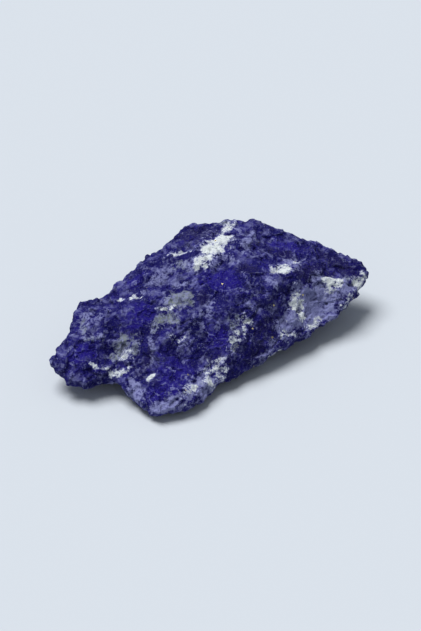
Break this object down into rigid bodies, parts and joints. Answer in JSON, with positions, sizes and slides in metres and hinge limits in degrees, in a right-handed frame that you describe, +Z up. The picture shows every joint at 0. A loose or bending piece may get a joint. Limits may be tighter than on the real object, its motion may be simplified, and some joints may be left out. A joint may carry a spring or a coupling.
{
  "type": "rough lapis lazuli",
  "caption": "Rough lapis lazuli: a broken, wedge-shaped chip with a hackly break, deep blue with pale calcite patches, lying on a small flat spot on its underside",
  "frame": {"origin": "centre of the stone's box at its base, on the surface that it lies on", "axes": "+X along the stone's longest side, from the notched end to the pointed end; +Y from the thin edge to the thick edge; +Z up"},
  "size_m": [0.0468, 0.0326, 0.0122],
  "materials": {
    "lapis": "rough natural break, dull to slightly waxy: deep ultramarine mottled with grey-white calcite, faint grey-green patches and a few brassy pyrite grains"
  },
  "bodies": {
    "root": {"lapis_stone": "lapis"}
  },
  "joints": []
}
